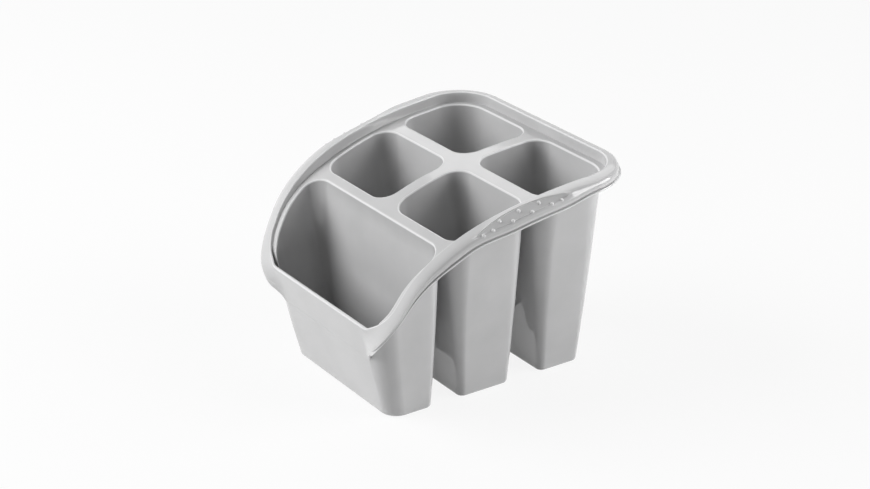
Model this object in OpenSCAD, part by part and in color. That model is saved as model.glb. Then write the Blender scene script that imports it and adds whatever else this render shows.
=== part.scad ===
// Cutlery drainer: five tapered pockets hung from one bent tray with a rolled rim.
// The tray is flat at the back, bends over and runs down steeply to a low front lip.

/* [Tray profile] */
// Height of the front lip above the table
lip_height = 68; // [50:0.5:90]
// Steepness of the tray at the front lip, in degrees
front_slope = 60; // [40:0.5:75]
// Length of the straight stretch behind the front lip
front_straight = 30; // [10:0.5:45]
// Length over which the bend dies away
bend_length = 61.5; // [45:0.5:85]
// Slope that the tray settles to at the back, in degrees
back_slope = -1; // [-4:0.5:5]
// Length of the tray along its bent surface, inside the rim
tray_length = 207.5; // [190:0.5:230]

/* [Rim] */
// Half of the width inside the rim at the front lip
half_front = 70.5; // [66:0.5:76]
// Half of the width inside the rim at the back
half_back = 87.5; // [80:0.5:96]
// Outward bow of each side halfway along
side_bow = 4.7; // [0:0.1:8]
// Corner radius inside the rim at the front
front_corner = 22.5; // [16:0.5:28]
// Corner radius inside the rim at the back
back_corner = 28; // [22:0.5:34]
// Height of the rim's inner wall over the deck
rim_rise = 7; // [5:0.1:10]
// Height of the rim's inner wall close to the front lip
front_rise = 2; // [1.5:0.1:4]
// Width of the rolled band along the sides
band_side = 10; // [8:0.1:14]
// Width of the rolled band along the back
band_back = 7; // [6:0.1:12]
// Depth of the band where it joins the front wall
band_front = 24.5; // [14:0.1:28]
// Fall of the band from its inner edge to its crease
band_drop = 2.3; // [1:0.1:4]
// Extra fall of the band along each grip
grip_sag = 3.2; // [1.5:0.1:7]
// Height of the lip below the crease
skirt_height = 5.3; // [3.5:0.1:8]
// Reach of the small flange under the lip
flange = 1.2; // [0.8:0.1:2.5]

/* [Walls] */
// Wall thickness of the moulding
wall = 2; // [1.6:0.1:2.6]
// Thickness of the pocket floors
floor_t = 2; // [1.5:0.1:4]
// Rounding of the pocket mouths
mouth_round = 1.4; // [0.8:0.1:2]
// Inward lean of the rim's inner wall, top to foot
wall_lean = 0.8; // [0.3:0.1:1.5]

/* [Pockets] */
// Ledge between the rim's inner wall and the pocket mouths
ledge = 5; // [4:0.1:7]
// Ledge between the rim's inner wall and the rear mouths
back_ledge = 6; // [4.5:0.1:9]
// Place of the divider behind the front pocket, along the tray
front_divider_at = 73.6; // [66:0.1:80]
// Place of the divider between middle and rear pockets, along the tray
rear_divider_at = 140.6; // [132:0.1:148]
// Width of the divider behind the front pocket
front_divider = 8.7; // [7:0.1:12]
// Width of the divider between middle and rear pockets
rear_divider = 10.8; // [7:0.1:14]
// Width of the divider between left and right pockets
centre_divider = 10.5; // [7:0.1:14]
// Corner radius of the pocket mouths at the dividers
mouth_corner = 13; // [8:0.5:15]

/* [Pocket bases] */
// Half of the width over the pocket bases
base_half = 60; // [52:0.1:66]
// Gap between the left and right bases
base_gap = 26; // [16:0.5:36]
// Front pocket base, from the front lip to its front edge
front_base_at = 15.9; // [10:0.1:20]
// Depth of the front pocket base
front_base_depth = 33; // [24:0.1:36]
// Middle pocket bases, from the front lip to their front edge
middle_base_at = 69.4; // [64:0.1:76]
// Depth of the middle pocket bases
middle_base_depth = 40; // [28:0.1:42]
// Rear pocket bases, from the front lip to their front edge
rear_base_at = 133.6; // [128:0.1:140]
// Depth of the rear pocket bases
rear_base_depth = 33; // [26:0.1:40]
// Corner radius of the front pocket's base at its front
front_base_corner = 12; // [8:0.5:14]
// Corner radius of the pocket bases elsewhere
base_corner = 5; // [4.5:0.5:9]
// How much tighter the corners stay halfway up than the mean of mouth and base
corner_hold = 1.5; // [0:0.1:4]
// Rounding along the bottom edge of the bases
base_round = 2.5; // [1.5:0.1:4]
// Diameter of the drain holes
drain_d = 6; // [3:0.5:8]

/* [Grips] */
// Middle of each grip, along the tray
grip_at = 121; // [115:0.5:130]
// Length of each grip
grip_length = 82; // [60:1:90]
// Thickness of the grip panel on the band
grip_t = 0.6; // [0.4:0.1:1]
// Diameter of the grip pips
pip_d = 2.6; // [2:0.1:3.2]
// Height of the grip pips
pip_h = 0.7; // [0.4:0.1:1]

/* [Hidden] */
plastic = [0.80, 0.80, 0.80];
grip_tone = [0.77, 0.77, 0.77];

// Counts of steps along the pieces of each outline
corner_steps = 4;
edge_steps = 4;
bend_steps = 12;

// Tray profile: its slope, and its points summed along the bent surface
profile_step = 2.5;
function ease(t) = let (c = max(0, min(1, t))) c * c * (3 - 2 * c);
function mix(a, b, t) = a + (b - a) * t;
function slope(s) = mix(back_slope, front_slope, exp(-max(s - front_straight, 0) / bend_length));
profile_count = ceil(tray_length / profile_step);
profile_pitch = tray_length / profile_count;
function summed(f) = [for (i = 0, a = 0; i <= profile_count;
    a = a + profile_pitch * f((i + 0.5) * profile_pitch), i = i + 1) [i * profile_pitch, a]];
profile_y = summed(function (s) cos(slope(s)));
profile_z = summed(function (s) sin(slope(s)));
function along(s, table, unit) = lookup(s, table)
    + min(s, 0) * unit(slope(0)) + max(s - tray_length, 0) * unit(slope(tray_length));

// A point of the tray at width x and length s, lifted by v square to the surface
function lift(x, s, v) = [
    x,
    origin_y + along(s, profile_y, function (a) cos(a)) - v * sin(slope(s)),
    lip_height + along(s, profile_z, function (a) sin(a)) + v * cos(slope(s))];

// Depth of the whole tray, from the front lip to the flange at the back
back_reach = lookup(tray_length, profile_y) + (band_back + flange) * cos(slope(tray_length))
    + (band_drop + skirt_height) * sin(slope(tray_length));
origin_y = -back_reach / 2;

// Inside of the rim: half width at s, and the rise of its inner wall over the deck
function half(s) = mix(half_front, half_back, s / tray_length)
    + 4 * side_bow * (s / tray_length) * (1 - s / tray_length);
rise_from = front_corner;
rise_to = front_divider_at * 1.3;
function rise(s) = mix(front_rise, rim_rise, ease((s - rise_from) / (rise_to - rise_from)));

// Extra fall and reach of the band along the grip, and the height share of the grip's lens
sag_at = grip_at + grip_length * 0.12;
sag_length = grip_length * 1.27;
grip_bulge = grip_sag * 0.3;
function grip_share(s) = ease((1 - abs(s - sag_at) / (sag_length / 2)) / 0.7);
function lens_share(s) = max(0, 1 - pow((s - grip_at) / (grip_length / 2), 2));
// Share of the full lip height, which fades towards the front corners
function skirt_share(s) = ease((s - front_corner * 0.6) / (front_divider_at - front_corner * 0.6));

// Spans of the pocket mouths along the tray
front_mouth_to = front_divider_at - front_divider / 2;
middle_mouth_from = front_divider_at + front_divider / 2;
middle_mouth_to = rear_divider_at - rear_divider / 2;
rear_mouth_from = rear_divider_at + rear_divider / 2;
rear_mouth_to = tray_length - back_ledge;
mouth_in = centre_divider / 2;

// Turn from the tray's slope at the front lip down to the front wall
wall_turn = 90 + atan(front_base_at / lip_height) - front_slope;

// Rim stations [x, s, angle]: the angle is -90 at the front, 0 at the side and 90 at the back
function steps(n, a, b) = [for (i = [0 : n - 1]) mix(a, b, i / n)];
function side_at(s) = [half(s), s, 0];
function bend_at(a, r, s) = [half(s) - r * (1 - cos(a)), s, a];
function front_bend_at(a) = bend_at(a, front_corner, front_corner * (1 + sin(a)));
function back_bend_at(a) = bend_at(a, back_corner, tray_length - back_corner * (1 - sin(a)));
front_straight_x = half(0) - front_corner;
back_straight_x = half(tray_length) - back_corner;
function front_run() = [for (x = steps(edge_steps, 0, front_straight_x)) [x, 0, -90]];
function front_bend() = [for (a = steps(bend_steps, -90, 0)) front_bend_at(a)];
function front_side() = concat(
    [for (s = steps(edge_steps, front_corner, front_mouth_to - mouth_corner)) side_at(s)],
    [for (s = steps(corner_steps, front_mouth_to - mouth_corner, front_divider_at)) side_at(s)]);
function middle_side() = concat(
    [for (s = steps(corner_steps, front_divider_at, middle_mouth_from + mouth_corner)) side_at(s)],
    [for (s = steps(edge_steps, middle_mouth_from + mouth_corner, middle_mouth_to - mouth_corner))
        side_at(s)],
    [for (s = steps(corner_steps, middle_mouth_to - mouth_corner, rear_divider_at)) side_at(s)]);
function rear_side() = concat(
    [for (s = steps(corner_steps, rear_divider_at, rear_mouth_from + mouth_corner)) side_at(s)],
    [for (s = steps(edge_steps, rear_mouth_from + mouth_corner, tray_length - back_corner)) side_at(s)]);
function back_bend() = [for (a = steps(bend_steps, 0, 90)) back_bend_at(a)];
function back_run() = concat(
    [for (x = steps(edge_steps, back_straight_x, mouth_in + mouth_corner)) [x, tray_length, 90]],
    [for (x = steps(corner_steps, mouth_in + mouth_corner, 0)) [x, tray_length, 90]]);
right_half = concat(
    front_run(), front_bend(), front_side(), middle_side(), rear_side(), back_bend(), back_run());
function flip(p) = [-p[0], p[1], p[2]];
function turned(list) = [for (i = [len(list) - 1 : -1 : 0]) list[i]];
back_middle = [0, tray_length, 90];
rim_loop = concat(
    right_half, [back_middle], [for (i = [len(right_half) - 1 : -1 : 1]) flip(right_half[i])]);

// Share of the front form of the rim's section, which grows round the front corner
function front_share(a) = a < 0 ? pow(sin(a), 6) : 0;

// A point of the rim's section at station st: o outward from the inner edge, v square to the tray
function rim_point(st, o, v) =
    let (side = st[0] < 0 ? -1 : 1, a = st[2])
    a >= 0 ? lift(st[0] + side * o * cos(a), st[1] + o * sin(a), v)
    : let (t = [0, cos(slope(st[1])), sin(slope(st[1]))], n = [0, -sin(slope(st[1])), cos(slope(st[1]))],
           turn = wall_turn * pow(-sin(a), 5),
           out = [side * cos(a), 0, 0]
               - band_front / band_side * pow(-sin(a), 1.3) * (t * cos(turn) + n * sin(turn)))
      lift(st[0], st[1], 0) + o * out + v * (n * cos(turn) - t * sin(turn));

// Band of the rim at a station: its reach, its fall to the crease without and with the grip's sag,
// and its height at o. It is rolled, and a flat facet inside the grip's lens.
function band_reach(st) = mix(band_side, band_back, max(0, sin(st[2]))) * mix(0.88, 1, skirt_share(st[1]))
    + grip_bulge * grip_share(st[1]);
function plain_fall(st) = band_drop * mix(0.4, 1, skirt_share(st[1]));
function crease_fall(st) = plain_fall(st) + grip_sag * grip_share(st[1]);
grip_top = band_side * 0.32;
function lens_at(st) = mix(band_reach(st), grip_top, lens_share(st[1]));
function rolled(st, u) = -plain_fall(st) * (0.35 * pow(u, 2) + 0.65 * pow(u, 5))
    - (crease_fall(st) - plain_fall(st)) * pow(u, 6) * (1 - lens_share(st[1]));
function band_v(st, o) = let (b = band_reach(st), a = lens_at(st))
    o <= a ? rolled(st, o / b) : mix(rolled(st, a / b), -crease_fall(st), (o - a) / (b - a));

// Rim section along the sides and back, then along the front where it lies on the front wall
edge_round = wall * 0.45;
function side_section(st) =
    let (b = band_reach(st), r = rise(st[1]), k = skirt_share(st[1]), c = crease_fall(st),
         h = mix(wall * 1.3, skirt_height, k), e = c + h, f = flange * k, inner = b * 0.55, outer = b * 0.85)
    [[-wall_lean, -r], [-wall_lean * 0.2, -edge_round], [edge_round * 0.3, -edge_round * 0.3],
     [edge_round, 0], [inner, band_v(st, inner)], [outer, band_v(st, outer)], [b, -c],
     [b, -e + h * 0.4], [b + f, -e + h * 0.25], [b + f, -e], [b - wall, -e],
     [b - wall, -c - wall], [inner, band_v(st, inner) - wall],
     [wall + edge_round * 0.5, -wall - edge_round * 0.3],
     [wall - wall_lean, -r - wall], [-wall_lean, -r - wall]];
function front_section() = let (d = band_side)
    concat([[d, -wall], [edge_round, -wall], [edge_round * 0.2, -wall * 0.75]],
           [[edge_round * 0.2, -wall * 0.25], [edge_round, 0]],
           [for (i = [5 : 15]) [d * mix(0.45, 1, (i - 5) / 10), 0]]);
function section(st) = let (q = front_share(st[2])) mix(side_section(st), front_section(), q);
function rim_ring(st) = [for (p = section(st)) rim_point(st, p[0], p[1])];
foot_top = 0;
foot_under = 15;

// Closed skin through rings of points: rings first to last, with a cap on each end if capped
function skin_faces(rings, n, looped) = [
    for (r = [0 : rings - (looped ? 1 : 2)], i = [0 : n - 1])
        let (a = r * n + i, b = r * n + (i + 1) % n,
             k = ((r + 1) % rings) * n, c = k + (i + 1) % n, d = k + i)
        each [[a, b, c], [a, c, d]]];
function middle_of(ring) = [for (k = [0 : 2]) [for (p = ring) p[k]] * [for (p = ring) 1 / len(ring)]];
module skin(rings, looped = false) {
    n = len(rings[0]);
    count = len(rings) * n;
    last = count - n;
    caps = looped ? [] : [for (i = [0 : n - 1]) each [
        [count, (i + 1) % n, i],
        [count + 1, last + i, last + (i + 1) % n]]];
    ends = looped ? [] : [middle_of(rings[0]), middle_of(rings[len(rings) - 1])];
    polyhedron(points = concat([for (r = rings) each r], ends),
               faces = concat(skin_faces(len(rings), n, looped), caps));
}

// Pocket outline entries [edge of its deck cell, its mouth, its base, angle, rim station or undef]
function arc_at(c, r, a) = [c[0] + r * cos(a), c[1] + r * sin(a)];
function entry(cell, mouth, base, a, st = undef) = [cell, mouth, base, a, st];
function corner_run(n, from, cell_a, cell_mid, cell_b, mouth_c, base_c, rim_first, rim_last) = [
    for (i = [0 : 2 * n - 1])
        let (t = i / (2 * n), a = from + 90 * t,
             p = t < 0.5 ? mix(cell_a, cell_mid, 2 * t) : mix(cell_mid, cell_b, 2 * t - 1),
             on_rim = (i <= n && rim_first) || (i >= n && rim_last),
             st = on_rim ? (p[1] >= tray_length ? [p[0], tray_length, 90] : side_at(p[1])) : undef)
        entry(p, arc_at(mouth_c, mouth_corner, a), arc_at(base_c, base_corner, a), a, st)];
function edge_run(n, a, cell_a, cell_b, mouth_a, mouth_b, base_a, base_b, rim = false) = [
    for (t = steps(n, 0, 1))
        let (p = mix(cell_a, cell_b, t),
             st = rim ? (a == 90 ? [p[0], tray_length, 90] : side_at(p[1])) : undef)
        entry(p, rim ? [st[0] - ledge * cos(a), st[1] - back_ledge * sin(a)] : mix(mouth_a, mouth_b, t),
              mix(base_a, base_b, t), a, st)];

// Right middle or rear pocket: its deck cell from s0 to s1, its mouth m0 to m1, its base y0 to y1
function pocket_loop(s0, s1, m0, m1, y0, y1, at_back) =
    let (x0 = mouth_in + mouth_corner, lo = m0 + mouth_corner, hi = m1 - mouth_corner,
         x_lo = half(lo) - ledge - mouth_corner, x_hi = half(hi) - ledge - mouth_corner,
         bx0 = base_gap / 2 + base_corner, bx1 = base_half - base_corner,
         b0 = origin_y + y0 + base_corner, b1 = origin_y + y1 - base_corner)
    concat(
        corner_run(corner_steps, 180, [0, lo], [0, s0], [x0, s0], [x0, lo], [bx0, b0], false, false),
        edge_run(edge_steps, 270, [x0, s0], [x_lo, s0], [x0, m0], [x_lo, m0],
                 [bx0, b0 - base_corner], [bx1, b0 - base_corner]),
        corner_run(corner_steps, 270, [x_lo, s0], [half(s0), s0], [half(lo), lo],
                   [x_lo, lo], [bx1, b0], false, true),
        at_back ? concat(
            edge_run(edge_steps, 0, [0, lo], [0, tray_length - back_corner], undef, undef,
                     [base_half, b0], [base_half, b1], true),
            [for (a = steps(bend_steps, 0, 90))
                let (st = back_bend_at(a))
                entry([st[0], st[1]], [st[0] - ledge * cos(a), st[1] - back_ledge * sin(a)],
                      arc_at([bx1, b1], base_corner, a), a, st)],
            edge_run(edge_steps, 90, [back_straight_x, s1], [x0, s1], undef, undef,
                     [bx1, b1 + base_corner], [bx0, b1 + base_corner], true),
            corner_run(corner_steps, 90, [x0, s1], [0, s1], [0, hi], [x0, hi], [bx0, b1], true, false))
        : concat(
            edge_run(edge_steps, 0, [0, lo], [0, hi], undef, undef, [base_half, b0], [base_half, b1], true),
            corner_run(corner_steps, 0, [half(hi), hi], [half(s1), s1], [x_hi, s1],
                       [x_hi, hi], [bx1, b1], true, false),
            edge_run(edge_steps, 90, [x_hi, s1], [x0, s1], [x_hi, m1], [x0, m1],
                     [bx1, b1 + base_corner], [bx0, b1 + base_corner]),
            corner_run(corner_steps, 90, [x0, s1], [0, s1], [0, hi], [x0, hi], [bx0, b1], false, false)),
        edge_run(edge_steps, 180, [0, hi], [0, lo], [mouth_in, hi], [mouth_in, lo],
                 [bx0 - base_corner, b1], [bx0 - base_corner, b0]));

// Front pocket: right half from the middle of the front lip round to the middle of its divider
function front_half() =
    let (hi = front_mouth_to - mouth_corner, x_hi = half(hi) - ledge - mouth_corner,
         y0 = origin_y + front_base_at, b0 = y0 + front_base_corner, b1 = y0 + front_base_depth - base_corner,
         bx0 = base_half - front_base_corner, bx = base_half - base_corner)
    concat(
        [for (st = front_run()) entry([st[0], 0], [st[0], 0], [bx0 * st[0] / front_straight_x, y0], 270, st)],
        [for (st = front_bend()) entry([st[0], st[1]],
            [st[0] - ledge * cos(st[2]), st[1]], arc_at([bx0, b0], front_base_corner, st[2]),
            360 + st[2], st)],
        edge_run(edge_steps, 0, [0, front_corner], [0, hi], undef, undef,
                 [base_half, b0], [base_half, b1], true),
        corner_run(corner_steps, 0, [half(hi), hi], [half(front_divider_at), front_divider_at],
                   [x_hi, front_divider_at], [x_hi, hi], [bx, b1], true, false),
        edge_run(edge_steps, 90, [x_hi, front_divider_at], [0, front_divider_at], [x_hi, front_mouth_to],
                 [0, front_mouth_to], [bx, b1 + base_corner], [0, b1 + base_corner]));
function flip_entry(e) = [
    [-e[0][0], e[0][1]], [-e[1][0], e[1][1]], [-e[2][0], e[2][1]],
    180 - e[3], is_undef(e[4]) ? undef : flip(e[4])];
function front_loop() = let (h = front_half(), divider = [
        [0, front_divider_at], [0, front_mouth_to],
        [0, origin_y + front_base_at + front_base_depth], 90, undef])
    concat(h, [divider], [for (i = [len(h) - 1 : -1 : 1]) flip_entry(h[i])]);

// Points of a pocket wall for one outline entry
function foot(e, k, drop) = is_undef(e[4]) ? lift(e[0][0], e[0][1], -rise(e[0][1]) - drop)
    : let (p = section(e[4])[k]) rim_point(e[4], p[0], p[1]);
function mouth(e, out, drop) = let (x = e[1][0] + out * cos(e[3]), s = e[1][1] + out * sin(e[3]))
    lift(x, s, -rise(e[1][1]) - drop);
function base(e, inset, z) = [e[2][0] - inset * cos(e[3]), e[2][1] - inset * sin(e[3]), z];
// Flush front form: its share at an entry, and how far a point lies behind the front wall's outer face
function flush_share(e) = is_undef(e[4]) || e[4][2] >= 0 ? 0 : pow(sin(e[4][2]), 2);
function behind_front(p) = p[1] - origin_y - (lip_height - p[2]) * front_base_at / lip_height;
wall_y = wall / cos(atan(front_base_at / lip_height));
function wall_head(e, out, drop, depth) = mouth(e, out, drop)
    - [0, flush_share(e) * (behind_front(lift(0, -out, -front_rise - drop)) - depth), 0];
function at_height(p, q, z) = mix(p, q, (p[2] - z) / (p[2] - q[2]));
// Tops of the inner and outer wall, which lie below the rim's foot at the front
function inner_wall(e, out, drop) =
    let (p = wall_head(e, out, drop, wall_y), z = foot(e, foot_top, 0)[2] - wall / 2 - drop)
    at_height(p, base(e, wall, floor_t), mix(p[2], z, flush_share(e)));
function outer_wall(e) =
    let (p = wall_head(e, wall, wall, 0), b = base(e, 0, base_round), g = foot(e, foot_under, wall),
         z = g[2] - wall / 2 - norm(g - at_height(p, b, g[2])) / 2)
    at_height(p, b, mix(p[2], z, flush_share(e)));
// Halfway up a wall, with its corner held tighter
function waist(e, p, q) = (p + q) / 2
    + corner_hold * [sign(cos(e[3])) - cos(e[3]), sign(sin(e[3])) - sin(e[3]), 0];
half_turn = 1 - sqrt(0.5);
foot_round = (base_corner - wall) / 2;
function pocket_rings(loop) = [
    [for (e = loop) base(e, wall + foot_round, floor_t)],
    [for (e = loop) base(e, wall + foot_round * half_turn, floor_t + foot_round * half_turn)],
    [for (e = loop) base(e, wall, floor_t + foot_round)],
    [for (e = loop) waist(e, base(e, wall, floor_t + foot_round), inner_wall(e, 0, mouth_round))],
    [for (e = loop) inner_wall(e, 0, mouth_round)],
    [for (e = loop) inner_wall(e, mouth_round * half_turn, mouth_round * half_turn)],
    [for (e = loop) inner_wall(e, mouth_round, 0)],
    [for (e = loop) foot(e, foot_top, 0)],
    [for (e = loop) foot(e, foot_under, wall)],
    [for (e = loop) outer_wall(e)],
    [for (e = loop) waist(e, outer_wall(e), base(e, 0, base_round))],
    [for (e = loop) base(e, 0, base_round)],
    [for (e = loop) base(e, base_round * half_turn, base_round * half_turn)],
    [for (e = loop) base(e, base_round, 0)]];

// Drain holes in a pocket floor: nx holes across, in as many rows as the floor has room for
drain_margin = wall + base_round * 2 + drain_d / 2;
function spread(a, b, i, n) = n == 1 ? (a + b) / 2 : mix(a + drain_margin, b - drain_margin, i / (n - 1));
module drains(x0, x1, y0, y1, nx) {
    ny = y1 - y0 - 2 * drain_margin > drain_d * 1.5 ? 2 : 1;
    for (i = [0 : nx - 1], j = [0 : ny - 1])
        translate([spread(x0, x1, i, nx), origin_y + spread(y0, y1, j, ny), -1])
            cylinder(d = drain_d, h = floor_t + 2, $fn = 32);
}

module side_pocket(s0, s1, m0, m1, y0, y1, at_back) {
    color(plastic) difference() {
        skin(pocket_rings(pocket_loop(s0, s1, m0, m1, y0, y1, at_back)));
        drains(base_gap / 2, base_half, y0, y1, 3);
    }
}
module middle_right_pocket() {
    side_pocket(front_divider_at, rear_divider_at, middle_mouth_from, middle_mouth_to,
                middle_base_at, middle_base_at + middle_base_depth, false);
}
module rear_right_pocket() {
    side_pocket(rear_divider_at, tray_length, rear_mouth_from, rear_mouth_to,
                rear_base_at, rear_base_at + rear_base_depth, true);
}
module middle_left_pocket() { mirror([1, 0, 0]) middle_right_pocket(); }
module rear_left_pocket() { mirror([1, 0, 0]) rear_right_pocket(); }
module front_pocket() {
    color(plastic) difference() {
        skin(pocket_rings(front_loop()));
        drains(-base_half, base_half, front_base_at, front_base_at + front_base_depth, 7);
    }
}
module rim() {
    color(plastic) skin([for (st = rim_loop) turned(rim_ring(st))], looped = true);
}

// Grip panel: a lens lying on the band, from its crease up towards the inner edge.
// It stands square to the line from the middle of the band to its crease.
function laid_v(st, o) = lookup(o, [for (i = [3 : 6]) section(st)[i]]);
function seat_way(st) = let (p = section(st)[4], q = section(st)[6], w = [p[1] - q[1], q[0] - p[0]])
    w / norm(w);
seat_gap = 0.3;
function seat(st, o, up) = let (w = seat_way(st) * (up + seat_gap))
    rim_point(st, o + w[0], laid_v(st, o) + w[1]);
function lens_ring(st) = let (b = band_reach(st), a = lens_at(st),
        at = [a, max(b * 0.55, mix(a, b, 0.33)), max(b * 0.85, mix(a, b, 0.66)), b])
    concat([for (o = at) seat(st, o, 0)], [for (o = turned(at)) seat(st, o, grip_t)]);
grip_stations = [
    for (st = concat(middle_side(), rear_side())) if (abs(st[1] - grip_at) < grip_length / 2 - 1) st];
module right_grip() {
    color(grip_tone) skin([for (st = grip_stations) lens_ring(st)]);
}
module left_grip() { mirror([1, 0, 0]) right_grip(); }

// Grip pips: low domes in a zigzag over the panel
pip_count = 9;
pip_pitch = grip_length * 0.715 / (pip_count - 1);
module pip() {
    rotate_extrude($fn = 16) polygon(concat([[0, 0]],
        [for (a = [0 : 30 : 60]) [pip_d / 2 * cos(a), pip_h * sin(a)]], [[0, pip_h]]));
}
module right_grip_pips() {
    color(grip_tone) for (k = [0 : pip_count - 1]) {
        st = side_at(grip_at + (k - (pip_count - 1) / 2) * pip_pitch);
        high = k % 2 == 0 && k > 0 && k < pip_count - 1;
        p = seat(st, mix(lens_at(st), band_reach(st), high ? 0.27 : 0.73), grip_t);
        t = [0, cos(slope(st[1])), sin(slope(st[1]))];
        n = let (w = seat_way(st)) [w[0], -w[1] * sin(slope(st[1])), w[1] * cos(slope(st[1]))];
        u = cross(t, n);
        multmatrix([for (k = [0 : 3]) k < 3 ? [u[k], t[k], n[k], p[k]] : [0, 0, 0, 1]]) pip();
    }
}
module left_grip_pips() { mirror([1, 0, 0]) right_grip_pips(); }

rim();
front_pocket();
middle_left_pocket();
middle_right_pocket();
rear_left_pocket();
rear_right_pocket();
left_grip();
right_grip();
left_grip_pips();
right_grip_pips();
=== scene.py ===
"""Cutlery drainer: five tapered pockets under one bent tray, dressed as satin moulded plastic.

Sizes are in millimetres in the classes and become metres when a mesh is made.
"""

import logging
import math
from dataclasses import dataclass, field
from enum import Enum

import bmesh
import bpy
from mathutils import Matrix, Vector


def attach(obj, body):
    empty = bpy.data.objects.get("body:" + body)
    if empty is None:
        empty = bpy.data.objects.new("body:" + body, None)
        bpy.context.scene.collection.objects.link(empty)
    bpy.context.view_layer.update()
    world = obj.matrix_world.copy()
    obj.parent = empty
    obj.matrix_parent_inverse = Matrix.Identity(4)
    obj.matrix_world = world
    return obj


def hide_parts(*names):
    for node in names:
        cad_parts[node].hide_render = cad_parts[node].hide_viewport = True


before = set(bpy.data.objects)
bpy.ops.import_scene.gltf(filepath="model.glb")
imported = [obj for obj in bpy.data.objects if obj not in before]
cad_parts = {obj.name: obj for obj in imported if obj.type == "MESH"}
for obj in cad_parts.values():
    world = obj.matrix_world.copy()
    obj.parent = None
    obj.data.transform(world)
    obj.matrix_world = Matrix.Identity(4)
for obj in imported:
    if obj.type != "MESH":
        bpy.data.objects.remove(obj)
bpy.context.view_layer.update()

LOG = logging.getLogger("cutlery_drainer")
MM = 0.001
BODY = "root"
PHOTO_WIDTH = 870
SHARP_DEG = 38.0
WHITE = (1.0, 1.0, 1.0, 1.0)
Pair = tuple[float, float]
Ring = list[Vector]


class Side(Enum):
    """The two halves of the drainer, as seen from the front."""

    LEFT = -1
    RIGHT = 1


class Row(Enum):
    """The two rows of small pockets behind the front pocket."""

    MIDDLE = "middle"
    REAR = "rear"


def mix(a: float, b: float, t: float) -> float:
    """A value t of the way from a to b."""
    return a + (b - a) * t


def mix_pair(a: Pair, b: Pair, t: float) -> Pair:
    """A pair of values t of the way from a to b."""
    return (mix(a[0], b[0], t), mix(a[1], b[1], t))


def ease(t: float) -> float:
    """A smooth step from 0 to 1."""
    c = max(0.0, min(1.0, t))
    return c * c * (3.0 - 2.0 * c)


def steps(count: int, start: float, stop: float) -> list[float]:
    """Evenly spaced values from start up to, and without, stop."""
    return [mix(start, stop, i / count) for i in range(count)]


def quarter(count: int) -> list[Pair]:
    """Cosine and sine of evenly spaced angles over a quarter turn, both ends included."""
    return [(math.cos(a), math.sin(a)) for a in steps(count, 0.0, math.pi / 2)] + [(0.0, 1.0)]


@dataclass(frozen=True)
class Station:
    """A place along the inside of the rim.

    turn is the way the outline faces, in degrees: -90 at the front, 0 at a side, 90 at the back.
    """

    x: float
    s: float
    turn: float

    def mirrored(self) -> "Station":
        """The same place on the other side of the tray."""
        return Station(-self.x, self.s, self.turn)


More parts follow.
